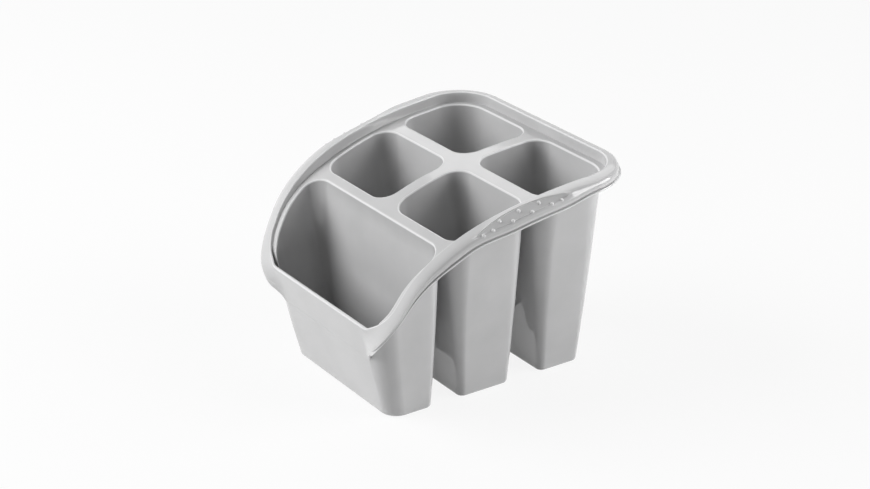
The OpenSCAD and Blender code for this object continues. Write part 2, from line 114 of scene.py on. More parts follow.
@dataclass
class TrayForm:
    """The bent tray: its side profile, its outline inside the rim, and the rim's section."""

    lip_height: float = 68.0
    front_slope: float = 60.0
    front_straight: float = 30.0
    bend_length: float = 61.5
    back_slope: float = -1.0
    length: float = 207.5
    half_front: float = 70.5
    half_back: float = 87.5
    side_bow: float = 4.7
    front_corner: float = 22.5
    back_corner: float = 28.0
    rim_rise: float = 7.0
    front_rise: float = 2.0
    band_side: float = 10.0
    band_back: float = 7.0
    band_front: float = 24.5
    band_drop: float = 2.3
    grip_sag: float = 3.2
    sag_behind: float = 0.12
    sag_half: float = 0.635
    sag_fade: float = 0.7
    sag_widening: float = 0.3
    skirt_height: float = 5.3
    flange: float = 1.5
    wall: float = 2.0
    wall_lean: float = 0.8
    edge_round: float = 0.75
    crease_round: float = 1.3
    groove: float = 0.28
    corner_band: float = 0.88
    corner_drop: float = 0.4
    corner_flange: float = 0.15
    corner_groove: float = 0.3
    ear_power: float = 5.0
    ear_spread: float = 1.35
    lip_turn_reach: float = 2.5
    front_base_at: float = 15.9
    front_divider_at: float = 73.6
    rear_divider_at: float = 140.6
    front_divider: float = 8.7
    rear_divider: float = 10.8
    centre_divider: float = 10.5
    ledge: float = 5.0
    back_ledge: float = 6.0
    mouth_corner: float = 13.0
    grip_at: float = 121.0
    grip_length: float = 82.0
    grip_top: float = 3.2
    panel_t: float = 0.4
    panel_step: float = 0.25
    rear_step: float = 0.6
    panel_margin: float = 0.6
    lip_bead: float = 0.22
    profile_count: int = 800
    corner_steps: int = 10
    edge_steps: int = 10
    bend_steps: int = 44
    profile: list[Pair] = field(init=False, repr=False)
    front_at: float = field(init=False)

    def __post_init__(self) -> None:
        """Sums the side profile and centres the tray front to back."""
        pitch = self.length / self.profile_count
        points = [(0.0, 0.0)]
        for i in range(self.profile_count):
            a = self.slope((i + 0.5) * pitch)
            y, z = points[-1]
            points.append((y + pitch * math.cos(a), z + pitch * math.sin(a)))
        self.profile = points
        a = self.slope(self.length)
        reach = points[-1][0] + (self.band_back + self.flange) * math.cos(a)
        reach += (self.band_drop + self.skirt_height) * math.sin(a)
        self.front_at = -reach / 2

    def slope(self, s: float) -> float:
        """Slope of the tray at length s, in radians."""
        fade = math.exp(-max(s - self.front_straight, 0.0) / self.bend_length)
        return math.radians(mix(self.back_slope, self.front_slope, fade))

    def place(self, x: float, s: float, v: float = 0.0) -> Vector:
        """A point of the tray.

        Args:
            x: Width from the middle.
            s: Length along the bent surface from the front lip.
            v: Height square to the surface.

        Returns:
            The point in millimetres.
        """
        inside = max(0.0, min(self.length, s))
        at = inside / self.length * self.profile_count
        i = min(int(at), self.profile_count - 1)
        y, z = mix_pair(self.profile[i], self.profile[i + 1], at - i)
        a = self.slope(s)
        y += (s - inside) * math.cos(a) - v * math.sin(a)
        z += (s - inside) * math.sin(a) + v * math.cos(a)
        return Vector((x, self.front_at + y, self.lip_height + z))

    def half_width(self, s: float) -> float:
        """Half of the width inside the rim at length s."""
        t = s / self.length
        return mix(self.half_front, self.half_back, t) + 4 * self.side_bow * t * (1 - t)

    def rise(self, s: float) -> float:
        """Height of the rim's inner wall over the deck at length s."""
        start, stop = self.front_corner, self.front_divider_at * 1.3
        return mix(self.front_rise, self.rim_rise, ease((s - start) / (stop - start)))

    def grip_share(self, s: float) -> float:
        """Share of the grip's full sag at length s, which lies a little behind the grip's middle."""
        middle = self.grip_at + self.grip_length * self.sag_behind
        return ease((1 - abs(s - middle) / (self.grip_length * self.sag_half)) / self.sag_fade)

    def skirt_share(self, s: float) -> float:
        """Share of the full lip height at length s, which fades towards the front corners."""
        start = self.front_corner * 0.6
        return ease((s - start) / (self.front_divider_at - start))

    def side_at(self, s: float) -> Station:
        """The station on the right side at length s."""
        return Station(self.half_width(s), s, 0.0)

    def bend_at(self, turn: float, radius: float, s_mid: float) -> Station:
        """The station that faces the given turn on a corner whose arc is centred at length s_mid."""
        s = s_mid + radius * math.sin(math.radians(turn))
        return Station(self.half_width(s) - radius * (1 - math.cos(math.radians(turn))), s, turn)

    @property
    def front_straight_x(self) -> float:
        """Half of the straight part of the front lip."""
        return self.half_front - self.front_corner

    @property
    def back_straight_x(self) -> float:
        """Half of the straight part of the back."""
        return self.half_width(self.length) - self.back_corner

    @property
    def mouth_in(self) -> float:
        """Distance of the small mouths from the middle."""
        return self.centre_divider / 2

    def sides(self, start: float, stop: float, count: int) -> list[Station]:
        """Stations on the right side from start up to stop."""
        return [self.side_at(s) for s in steps(count, start, stop)]

    def front_run(self) -> list[Station]:
        """Stations along the right half of the front lip."""
        return [Station(x, 0.0, -90.0) for x in steps(self.edge_steps, 0.0, self.front_straight_x)]

    def front_bend(self) -> list[Station]:
        """Stations round the right front corner."""
        turns = steps(self.bend_steps, -90.0, 0.0)
        return [self.bend_at(a, self.front_corner, self.front_corner) for a in turns]

    def lip_end_shift(self, turn: float, meets: float = -54.0, tightness: float = 5.0) -> Pair:
        """Shift of the inner edge at a front corner, where the lip runs on and turns tightly into the bend.

        Args:
            turn: Outline turn of the place.
            meets: Turn at which the tight part ends and the plain bend goes on.
            tightness: Pull of the lip's end on the curve, 1 for a soft curve.

        Returns:
            The shift in width and in length.
        """
        if turn >= meets:
            return (0.0, 0.0)
        plain, last = (self.bend_at(a, self.front_corner, self.front_corner) for a in (turn, meets))
        end = last.x - last.s * math.tan(math.radians(-meets))
        t = (turn + 90.0) / (meets + 90.0)
        first, pull, final = (1 - t) ** 2, 2 * tightness * t * (1 - t), t ** 2
        whole = first + pull + final
        x = (first * self.front_straight_x + pull * end + final * last.x) / whole
        return (x - plain.x, final * last.s / whole - plain.s)

    def back_bend(self) -> list[Station]:
        """Stations round the right back corner."""
        turns = steps(self.bend_steps, 0.0, 90.0)
        return [self.bend_at(a, self.back_corner, self.length - self.back_corner) for a in turns]

    def mouth_span(self, row: Row) -> Pair:
        """First and last length of a row's mouths.

        Args:
            row: The row of small pockets.

        Returns:
            The two lengths along the tray.
        """
        if row is Row.MIDDLE:
            return (self.front_divider_at + self.front_divider / 2,
                    self.rear_divider_at - self.rear_divider / 2)
        return (self.rear_divider_at + self.rear_divider / 2, self.length - self.back_ledge)

    @property
    def front_mouth_to(self) -> float:
        """Length at the back edge of the front mouth."""
        return self.front_divider_at - self.front_divider / 2

    def rim_stations(self) -> list[Station]:
        """Stations once round the rim.

        Returns:
            The stations, from the middle of the front lip.
        """
        corner, edge, r = self.corner_steps, self.edge_steps, self.mouth_corner
        middle, rear = self.mouth_span(Row.MIDDLE), self.mouth_span(Row.REAR)
        half = self.front_run() + self.front_bend()
        for start, stop, count in (
                (self.front_corner, self.front_mouth_to - r, edge),
                (self.front_mouth_to - r, self.front_divider_at, corner),
                (self.front_divider_at, middle[0] + r, corner),
                (middle[0] + r, middle[1] - r, edge),
                (middle[1] - r, self.rear_divider_at, corner),
                (self.rear_divider_at, rear[0] + r, corner),
                (rear[0] + r, self.length - self.back_corner, edge)):
            half += self.sides(start, stop, count)
        half += self.back_bend()
        x_in = self.mouth_in + r
        for start, stop, count in ((self.back_straight_x, x_in, edge), (x_in, 0.0, corner)):
            half += [Station(x, self.length, 90.0) for x in steps(count, start, stop)]
        back = Station(0.0, self.length, 90.0)
        return half + [back] + [st.mirrored() for st in reversed(half[1:])]

    def front_share(self, turn: float) -> float:
        """Share of the front form of the rim's section at an outline turn."""
        return math.sin(math.radians(-turn)) ** self.ear_power if turn < 0 else 0.0

    def rim_point(self, st: Station, o: float, v: float) -> Vector:
        """A point of the rim's section.

        Args:
            st: The place along the rim.
            o: Distance outward from the inner edge.
            v: Height square to the tray, or to the front wall at the front.

        Returns:
            The point in millimetres.
        """
        side = -1.0 if st.x < 0 else 1.0
        a = math.radians(st.turn)
        if st.turn >= 0:
            return self.place(st.x + side * o * math.cos(a), st.s + o * math.sin(a), v)
        slope = self.slope(st.s)
        along = Vector((0.0, math.cos(slope), math.sin(slope)))
        up = Vector((0.0, -math.sin(slope), math.cos(slope)))
        draft = math.degrees(math.atan(self.front_base_at / self.lip_height))
        turn = math.radians((90.0 + draft - self.front_slope) * math.sin(-a) ** self.ear_power)
        down = along * math.cos(turn) + up * math.sin(turn)
        out = Vector((side * math.cos(a), 0.0, 0.0))
        out -= down * (self.band_front / self.band_side * math.sin(-a) ** self.ear_spread)
        face = up * math.cos(turn) - along * math.sin(turn)
        near = max(0.0, 1 - o / self.lip_turn_reach) ** 2
        dx, ds = self.lip_end_shift(st.turn)
        return self.place(st.x + side * dx * near, st.s + ds * near) + out * o + face * v

    def band_width(self, st: Station) -> float:
        """Width of the rolled band.

        Args:
            st: The place along the rim.

        Returns:
            The width, which is larger along the grip and smaller at the front corners.
        """
        turn = max(0.0, math.sin(math.radians(st.turn)))
        plain = mix(self.band_side, self.band_back, turn)
        plain *= mix(self.corner_band, 1.0, self.skirt_share(st.s))
        return plain + self.grip_sag * self.sag_widening * self.grip_share(st.s)

    def crease_fall(self, st: Station) -> Pair:
        """Fall of the band's crease at a station, without and with the grip's sag."""
        plain = self.band_drop * mix(self.corner_drop, 1.0, self.skirt_share(st.s))
        return (plain, plain + self.grip_sag * self.grip_share(st.s))

    def lens_share(self, s: float) -> float:
        """Height share of the grip's lens at length s, 0 outside it."""
        return max(0.0, 1 - ((s - self.grip_at) / (self.grip_length / 2)) ** 2)

    def lens_at(self, st: Station) -> float:
        """Distance of the lens's upper edge from the inner edge."""
        return mix(self.band_width(st), self.grip_top, self.lens_share(st.s))

    def fall(self, st: Station, o: float) -> float:
        """Height of the band: rolled outside the grip, a flat facet inside it.

        Args:
            st: The place along the rim.
            o: Distance outward from the inner edge.

        Returns:
            The height square to the tray, 0 or below.
        """
        b = self.band_width(st)
        plain, full = self.crease_fall(st)
        extra = (full - plain) * (1 - self.lens_share(st.s))

        def rolled(at: float) -> float:
            """Height of the rolled band."""
            u = at / b
            return -plain * (0.35 * u ** 2 + 0.65 * u ** 5) - extra * u ** 6

        edge = self.lens_at(st)
        if o <= edge or b - edge < 1e-6:
            return rolled(o)
        return mix(rolled(edge), -full, (o - edge) / (b - edge))

    def step_at(self, s: float) -> float:
        """Depth of the grip panel's top below the band at length s, deepest at its rear end."""
        return self.panel_step + self.rear_step * ease((s - self.grip_at) / (self.grip_length * 0.4))

    def side_section(self, st: Station) -> list[Pair]:
        """The rim's section along the sides and the back.

        Args:
            st: The place along the rim.

        Returns:
            Distances out and heights, from the inner foot over the band and round to the under foot.
        """
        b, e = self.band_width(st), self.edge_round
        k = self.skirt_share(st.s)
        drop = self.crease_fall(st)[1]
        skirt = mix(self.wall, self.skirt_height, k)
        g = skirt / self.skirt_height
        low, f, w = drop + skirt, self.flange * mix(self.corner_flange, 1.0, k), self.wall
        rise, lean = self.rise(st.s), self.wall_lean
        crease = self.crease_round * g
        start = b - crease
        inside = start - self.panel_margin
        cut = min(self.lens_at(st), inside)
        recess = (self.step_at(st.s) + self.panel_t) * min(1.0, inside - cut)
        points = [(-lean * mix(1.0, 0.2, t), mix(-rise, -e, t)) for t in steps(3, 0.0, 1.0)]
        points += [(e * (1 - c) - lean * 0.2 * (1 - s), -e * (1 - s)) for c, s in quarter(6)]
        points += [(o, self.fall(st, o)) for o in steps(6, mix(e, cut, 0.12), cut)]
        points.append((cut, self.fall(st, cut)))
        floor = [mix(cut + 0.08, start - 0.3, t) for t in steps(7, 0.0, 1.0)] + [start - 0.3]
        points += [(o, self.fall(st, o) - recess) for o in floor]
        first, corner, last = (start, self.fall(st, start)), (b, -drop), (b, -drop - crease)
        for t in steps(6, 0.0, 1.0) + [1.0]:
            points.append(mix_pair(mix_pair(first, corner, t), mix_pair(corner, last, t), t))
        groove = b - self.groove * g * mix(self.corner_groove, 1.0, k)
        # The groove and the flange: distance out, and height over the lip's lower edge at its full size.
        lip = [(b, 2.1), (groove, 1.8), (groove, 1.45)]
        lip += [(b + f * 0.1, 1.3), (b + f * 0.6, 1.22), (b + f * 0.85, 1.1), (b + f, 0.85), (b + f, 0.3)]
        lip += [(b + f * 0.8, 0.0), (b - w, 0.0)]
        points += [(o, -low + v * g) for o, v in lip]
        middle = b * 0.55
        points += [(b - w, -drop - w), (middle, self.fall(st, middle) - w)]
        points += [(w + e * 0.5, -w - e * 0.3), (w - lean, -rise - w)]
        return points + [(-lean, -rise - w)]

    def front_section(self, count: int) -> list[Pair]:
        """The rim's section where it lies on the front wall.

        Args:
            count: How many points it has, as many as the side section.

        Returns:
            Distances down the wall, in the measure of the side band, and heights over its face.
        """
        d, w = self.band_side, self.wall
        scale = self.band_front / self.band_side
        edge = self.edge_round / scale
        points = [(mix(d, edge, t), -w) for t in steps(3, 0.0, 1.0)]
        for a in (math.pi * i / 6 for i in range(7)):
            bulge = self.lip_bead * (1 - math.cos(a)) / 2
            points.append((edge * (1 - math.sin(a)), -w * (0.5 + 0.5 * math.cos(a)) + bulge))
        # The bead below the lip's edge: distance down in millimetres, and share of its height.
        bead = [(1.3, 1.0), (1.7, 1.0), (2.0, 0.75), (2.2, 0.25), (2.5, 0.0), (3.2, 0.0)]
        points += [(o / scale, self.lip_bead * v) for o, v in bead]
        rest = count - len(points)
        start = bead[-1][0] / scale
        points += [(mix(start, d, (i + 1) / rest), 0.0) for i in range(rest)]
        return points

    def section(self, st: Station) -> list[Pair]:
        """The rim's section at a station, which turns from the side form to the front form at the corners."""
        side, q = self.side_section(st), self.front_share(st.turn)
        return [mix_pair(a, b, q) for a, b in zip(side, self.front_section(len(side)))] if q > 0.0 else side

    def feet(self, st: Station) -> tuple[Vector, Vector]:
        """The upper and under points where the deck meets the rim at a station."""
        section = self.section(st)
        return self.rim_point(st, *section[0]), self.rim_point(st, *section[-1])


def stand(name: str, data: bpy.types.ID) -> bpy.types.Object:
    """Puts a new object in the scene.

    Args:
        name: The object's name.
        data: Its mesh, lamp or camera.

    Returns:
        The object.
    """
    thing = bpy.data.objects.new(name, data)
    bpy.context.scene.collection.objects.link(thing)
    return thing


def smooth(mesh: bpy.types.Mesh, sharp_deg: float = SHARP_DEG) -> None:
    """Shades a mesh smooth, with edges that turn by more than an angle left sharp."""
    mesh.shade_smooth()
    mesh.set_sharp_from_angle(angle=math.radians(sharp_deg))


def closed_skin(name: str, rings: list[Ring], looped: bool, sharp_deg: float = SHARP_DEG) -> bpy.types.Object:
    """A closed mesh through rings of points.

    Args:
        name: The piece's name.
        rings: Rings of the same count of points, in millimetres.
        looped: True if the last ring joins the first, False if both ends are capped.
        sharp_deg: Edges that turn by more than this stay sharp.

    Returns:
        The new object, linked to the scene.
    """
    n = len(rings[0])
    points = [p * MM for ring in rings for p in ring]
    faces: list[tuple[int, ...]] = []
    for r in range(len(rings) if looped else len(rings) - 1):
        k = ((r + 1) % len(rings)) * n
        for i in range(n):
            j = (i + 1) % n
            faces.append((r * n + i, r * n + j, k + j, k + i))
    if not looped:
        for first, flip in ((0, True), ((len(rings) - 1) * n, False)):
            middle = len(points)
            ring = points[first:first + n]
            points.append(sum(ring, Vector()) / n)
            for i in range(n):
                j = (i + 1) % n
                a, b = (first + j, first + i) if flip else (first + i, first + j)
                faces.append((middle, a, b))
    mesh = bpy.data.meshes.new(name)
    mesh.from_pydata(points, [], faces)
    shape = bmesh.new()
    shape.from_mesh(mesh)
    bmesh.ops.remove_doubles(shape, verts=shape.verts, dist=1e-7)
    bmesh.ops.recalc_face_normals(shape, faces=shape.faces)
    shape.to_mesh(mesh)
    shape.free()
    smooth(mesh, sharp_deg)
    return stand(name, mesh)


def mark_edges(piece: bpy.types.Object, loosest_mm: float = 4.0, tightest_mm: float = 1.1,
               seam_deg: float = 50.0) -> None:
    """Writes to each point how tightly the mesh bends outward there, for the painted highlight along its
    edges.

    Args:
        piece: The object whose mesh is marked.
        loosest_mm: Roundings of this radius and more get no painted highlight.
        tightest_mm: Roundings of this radius and less get the full painted highlight.
        seam_deg: Edges that turn by this and more lie where two pieces meet, and get none.
    """
    shape = bmesh.new()
    shape.from_mesh(piece.data)
    bends = [0.0] * len(shape.verts)
    for edge in shape.edges:
        turn = edge.calc_face_angle_signed(0.0) if len(edge.link_faces) == 2 else 0.0
        if 0.0 < turn < math.radians(seam_deg):
            a, b = (face.calc_center_median() for face in edge.link_faces)
            bend = turn * MM / max((a - b).length, 1e-6)
            for vert in edge.verts:
                bends[vert.index] = max(bends[vert.index], bend)
    shape.free()
    low, high = 1.0 / loosest_mm, 1.0 / tightest_mm
    # Painted highlight: the share of a paler base colour that makes tight convex edges look lit.
    highlight_share = piece.data.attributes.new("painted_edge_highlight", "FLOAT", "POINT")
    highlight_share.data.foreach_set("value", [ease((bend - low) / (high - low)) for bend in bends])


@dataclass(frozen=True)
class MouldedPlastic:
    """A pale moulded plastic with a gloss, faint flow marks, a slightly wavy skin, and a painted highlight
    that makes its tight rounded edges paler.

    Sizes and depths are in metres.
    """

    name: str
    colour: tuple[float, float, float] = (0.5, 0.5, 0.503)
    shade: float = 0.04
    # Strength and upper limit of the painted edge highlight.
    edge_gain: float = 1.4
    palest: float = 0.9
    specular: float = 0.75
    ior: float = 1.49
    roughness: Pair = (0.05, 0.09)
    flow_size: float = 0.03
    gloss_size: float = 0.012
    wave_size: float = 0.045
    wave_depth: float = 0.00018
    grain_size: float = 0.0009
    grain_depth: float = 0.000006

    def make(self) -> bpy.types.Material:
        """Makes the finish.

        Returns:
            The node material.
        """
        material = bpy.data.materials.new(self.name)
        material.use_nodes = True
        nodes, links = material.node_tree.nodes, material.node_tree.links
        shader = nodes["Principled BSDF"]
        shader.inputs["Specular IOR Level"].default_value = self.specular
        shader.inputs["IOR"].default_value = self.ior
        place = nodes.new("ShaderNodeTexCoord").outputs["Object"]

        def noise(size: float, detail: float) -> bpy.types.NodeSocket:
            """A noise field.

            Args:
                size: How far across its lumps are, in metres.
                detail: How many finer layers it has.

            Returns:
                The field's output.
            """
            node = nodes.new("ShaderNodeTexNoise")
            node.inputs["Scale"].default_value = 1.0 / size
            node.inputs["Detail"].default_value = detail
            links.new(place, node.inputs["Vector"])
            return node.outputs["Fac"]

        def spread(source: bpy.types.NodeSocket, low: float, high: float) -> bpy.types.NodeSocket:
            """A noise field brought to a range.

            Args:
                source: The field, which mostly lies between 0.3 and 0.7.
                low: The range's low end.
                high: The range's high end.

            Returns:
                The new field's output.
            """
            node = nodes.new("ShaderNodeMapRange")
            for end, value in (("From Min", 0.3), ("From Max", 0.7), ("To Min", low), ("To Max", high)):
                node.inputs[end].default_value = value
            links.new(source, node.inputs["Value"])
            return node.outputs["Result"]

        flow, edges = nodes.new("ShaderNodeMix"), nodes.new("ShaderNodeMix")
        flow.data_type = edges.data_type = "RGBA"
        flow.inputs["A"].default_value = (*(c * (1 - self.shade) for c in self.colour), 1.0)
        flow.inputs["B"].default_value = (*(min(1.0, c * (1 + self.shade)) for c in self.colour), 1.0)
        links.new(spread(noise(self.flow_size, 3.0), 0.0, 1.0), flow.inputs["Factor"])
        # Painted highlight: tight convex edges get a paler base colour, up to palest, by the share that
        # mark_edges writes.
        edges.inputs["B"].default_value = (*(min(self.palest, c * self.edge_gain) for c in self.colour), 1.0)
        highlight_share = nodes.new("ShaderNodeAttribute")
        highlight_share.attribute_name = "painted_edge_highlight"
        links.new(highlight_share.outputs["Fac"], edges.inputs["Factor"])
        links.new(flow.outputs["Result"], edges.inputs["A"])
        links.new(edges.outputs["Result"], shader.inputs["Base Color"])
        links.new(spread(noise(self.gloss_size, 4.0), *self.roughness), shader.inputs["Roughness"])
        waves, grain = nodes.new("ShaderNodeBump"), nodes.new("ShaderNodeBump")
        waves.inputs["Distance"].default_value = self.wave_depth
        links.new(noise(self.wave_size, 1.0), waves.inputs["Height"])
        grain.inputs["Distance"].default_value = self.grain_depth
        links.new(noise(self.grain_size, 2.0), grain.inputs["Height"])
        links.new(waves.outputs["Normal"], grain.inputs["Normal"])
        links.new(grain.outputs["Normal"], shader.inputs["Normal"])
        return material


@dataclass(frozen=True)
class Entry:
    """One place round a pocket: the edge of its deck, its mouth and its base.

    turn is the way the outline faces in plan, in degrees, and station the rim's place there, if any.
    """

    cell: Pair
    mouth: Pair
    base: Pair
    turn: float
    station: Station | None = None

    def mirrored(self) -> "Entry":
        """The same place on the other side of the tray."""
        cell, mouth, base = ((-p[0], p[1]) for p in (self.cell, self.mouth, self.base))
        return Entry(cell, mouth, base, 180.0 - self.turn, self.station.mirrored() if self.station else None)


def arc_at(centre: Pair, radius: float, turn: float) -> Pair:
    """The point of an arc that faces the given turn."""
    a = math.radians(turn)
    return (centre[0] + radius * math.cos(a), centre[1] + radius * math.sin(a))


@dataclass
class Pocket:
    """A tapered pocket with its share of the deck."""

    tray: TrayForm
    name: str
    base_at: float
    base_depth: float
    base_half: float = 60.0
    base_corner: float = 5.0
    corner_hold: float = 1.5
    base_round: float = 2.5
    floor: float = 2.0
    mouth_round: float = 1.2
    ear_taper: float = 1.6
    drain_d: float = 6.0
    drain_sides: int = 40
    drains_across: int = 3
    wall_rings: int = 10
    deck_rings: int = 4
    round_steps: int = 5
    slot: str = "body_plastic"

    def loop(self) -> list[Entry]:
        """Places once round the pocket. Each kind of pocket gives its own."""
        raise NotImplementedError

    def base_x(self) -> Pair:
        """Left and right edges of the base."""
        raise NotImplementedError

    def base_y(self) -> Pair:
        """Front and back edges of the base."""
        start = self.tray.front_at + self.base_at
        return (start, start + self.base_depth)

    def corner(self, start: float, cells: tuple[Pair, Pair, Pair], mouth: Pair, base: Pair,
               rim_first: bool = False, rim_last: bool = False) -> list[Entry]:
        """Places round a corner of the mouth where the deck's own corner is square.

        Args:
            start: Turn at the start of the corner, in degrees.
            cells: The deck's edge before, at and after its corner.
            mouth: Centre of the mouth's corner.
            base: Centre of the base's corner.
            rim_first: True if the deck meets the rim before its corner.
            rim_last: True if the deck meets the rim after its corner.

        Returns:
            The places, without the last one.
        """
        tray, n = self.tray, self.tray.corner_steps
        found = []
        for i in range(2 * n):
            turn = start + 90.0 * i / (2 * n)
            cell = mix_pair(cells[0], cells[1], i / n) if i < n else mix_pair(cells[1], cells[2], i / n - 1)
            station = None
            if (i <= n and rim_first) or (i >= n and rim_last):
                at_back = cell[1] >= tray.length - 1e-6
                station = Station(cell[0], tray.length, 90.0) if at_back else tray.side_at(cell[1])
            found.append(Entry(cell, arc_at(mouth, tray.mouth_corner, turn),
                               arc_at(base, self.base_corner, turn), turn, station))
        return found

    def edge(self, turn: float, cells: tuple[Pair, Pair], mouths: tuple[Pair, Pair],
             bases: tuple[Pair, Pair]) -> list[Entry]:
        """Places along a straight edge at a divider."""
        return [Entry(mix_pair(*cells, t), mix_pair(*mouths, t), mix_pair(*bases, t), turn)
                for t in steps(self.tray.edge_steps, 0.0, 1.0)]

    def rim_edge(self, stations: list[Station], bases: tuple[Pair, Pair]) -> list[Entry]:
        """Places along the rim, with the mouth a ledge inside it."""
        return [self.rim_entry(st, mix_pair(*bases, i / len(stations))) for i, st in enumerate(stations)]

    def rim_entry(self, st: Station, base: Pair) -> Entry:
        """The place at a station of the rim.

        Args:
            st: The station.
            base: The point of the base below it.

        Returns:
            The place, with the mouth a ledge inside the rim.
        """
        a = math.radians(st.turn)
        back = self.tray.back_ledge if st.turn > 0 else 0.0
        mouth = (st.x - self.tray.ledge * math.cos(a), st.s - back * math.sin(a))
        return Entry((st.x, st.s), mouth, base, st.turn, st)

    def foot(self, e: Entry, under: bool) -> Vector:
        """The deck's edge at a place.

        Args:
            e: The place.
            under: True for the underside of the deck.

        Returns:
            The point in millimetres.
        """
        if e.station:
            return self.tray.feet(e.station)[1 if under else 0]
        drop = self.tray.rise(e.cell[1]) + (self.tray.wall if under else 0.0)
        return self.tray.place(e.cell[0], e.cell[1], -drop)

    def mouth_point(self, e: Entry, out: float, drop: float) -> Vector:
        """A point near the mouth, out from its edge and down from the deck."""
        x, s = arc_at(e.mouth, out, e.turn)
        return self.tray.place(x, s, -self.tray.rise(e.mouth[1]) - drop)

    def base_point(self, e: Entry, inset: float, z: float) -> Vector:
        """A point of the base at a height, in from its outline."""
        return Vector((*arc_at(e.base, -inset, e.turn), z))

    def flush_share(self, e: Entry) -> float:
        """Share of the flush front form at a place: 1 along the front, 0 along the sides and the back."""
        at_front = e.station is not None and e.station.turn < 0
        return math.sin(math.radians(e.station.turn)) ** 2 if at_front else 0.0

    def wall_head(self, e: Entry, out: float, drop: float, depth: float) -> Vector:
        """The head of a wall, near the mouth.

        Args:
            e: The place.
            out: Distance out from the mouth's edge.
            drop: Distance down from the deck.
            depth: Distance behind the front wall's outer face where the form is flush with it.

        Returns:
            The point in millimetres.
        """
        tray = self.tray
        front = tray.place(0.0, -out, -tray.front_rise - drop)
        draft = tray.front_base_at / tray.lip_height
        behind = front.y - tray.front_at - (tray.lip_height - front.z) * draft
        return self.mouth_point(e, out, drop) - Vector((0.0, self.flush_share(e) * (behind - depth), 0.0))

    @staticmethod
    def at_height(p: Vector, q: Vector, z: float) -> Vector:
        """The point of the line from p to q at a height."""
        return p.lerp(q, (p.z - z) / (p.z - q.z))

    def inner_point(self, e: Entry, out: float, drop: float) -> Vector:
        """A point of the inner lip, which lies below the rim's foot at the front.

        Args:
            e: The place.
            out: Distance out from the mouth's edge.
            drop: Distance down from the deck.

        Returns:
            The point in millimetres.
        """
        tray = self.tray
        depth = tray.wall * math.hypot(1.0, tray.front_base_at / tray.lip_height)
        head, base = self.wall_head(e, out, drop, depth), self.base_point(e, tray.wall, self.floor)
        low = self.foot(e, False).z - tray.wall / 2 - drop
        return self.at_height(head, base, mix(head.z, low, self.flush_share(e)))

    def outer_point(self, e: Entry) -> Vector:
        """The top of the outer wall, which lies below the rim's foot at the front.

        Args:
            e: The place.

        Returns:
            The point in millimetres.
        """
        wall = self.tray.wall
        head, base = self.wall_head(e, wall, wall, 0.0), self.base_point(e, 0.0, self.base_round)
        foot = self.foot(e, True)
        low = foot.z - wall / 2 - (foot - self.at_height(head, base, foot.z)).length * self.ear_taper
        return self.at_height(head, base, mix(head.z, low, self.flush_share(e)))

    def rings(self) -> list[Ring]:
        """Rings of points for the pocket's skin.

        Returns:
            The rings, from the floor up the inside, over the deck and down the outside.
        """
        loop, wall, r, floor = self.loop(), self.tray.wall, self.base_round, self.floor
        inside_r, lip_r = (self.base_corner - wall) / 2, self.mouth_round
        curve = quarter(self.round_steps)
        floor_rings = [[self.base_point(e, wall + inside_r, floor) for e in loop]]
        inner_foot = [[self.base_point(e, wall + inside_r * (1 - s), floor + inside_r * (1 - c))
                       for e in loop] for c, s in curve[1:]]
        lip = [[self.inner_point(e, lip_r * (1 - c), lip_r * (1 - s)) for e in loop] for c, s in curve]
        feet, under = ([self.foot(e, flag) for e in loop] for flag in (False, True))
        outer_top = [self.outer_point(e) for e in loop]
        outer_foot = [[self.base_point(e, r * (1 - s), r * (1 - c)) for e in loop]
                      for c, s in reversed(curve)]
        inside = self.wall_between(loop, inner_foot[-1], lip[0])
        deck = [self.between(lip[-1], feet, t) for t in steps(self.deck_rings, 0.0, 1.0)[1:]]
        below = [self.between(under, outer_top, t) for t in steps(self.deck_rings, 0.0, 1.0)[1:]]
        outside = self.wall_between(loop, outer_top, outer_foot[0])
        return (floor_rings + inner_foot + inside + lip + deck + [feet, under] + below + [outer_top]
                + outside + outer_foot)

    @staticmethod
    def between(a: Ring, b: Ring, t: float) -> Ring:
        """A ring t of the way from one ring to another."""
        return [p.lerp(q, t) for p, q in zip(a, b)]

    @staticmethod
    def corner_way(e: Entry) -> Vector:
        """The way from a rounded corner to a square one, for a radius of 1. It is 0 along straight edges."""
        parts = [round(c, 9) for c in arc_at((0.0, 0.0), 1.0, e.turn)]
        return Vector((*((math.copysign(1.0, c) if c else 0.0) - c for c in parts), 0.0))

    def wall_between(self, loop: list[Entry], a: Ring, b: Ring) -> list[Ring]:
        """Rings of a wall, with its corners held tighter halfway.

        Args:
            loop: The places round the pocket.
            a: The wall's first ring.
            b: Its last ring.

        Returns:
            The rings between the two.
        """
        return [[p + self.corner_way(e) * (self.corner_hold * 4 * t * (1 - t))
                 for p, e in zip(self.between(a, b, t), loop)]
                for t in steps(self.wall_rings, 0.0, 1.0)[1:]]

    def drain_centres(self) -> list[Pair]:
        """Centres of the drain holes.

        Returns:
            Places on the floor, in two rows.
        """
        margin = self.tray.wall + self.base_round * 2 + self.drain_d / 2
        (x0, x1), (y0, y1) = self.base_x(), self.base_y()
        last = self.drains_across - 1
        return [(mix(x0 + margin, x1 - margin, i / last), y)
                for i in range(self.drains_across) for y in (y0 + margin, y1 - margin)]

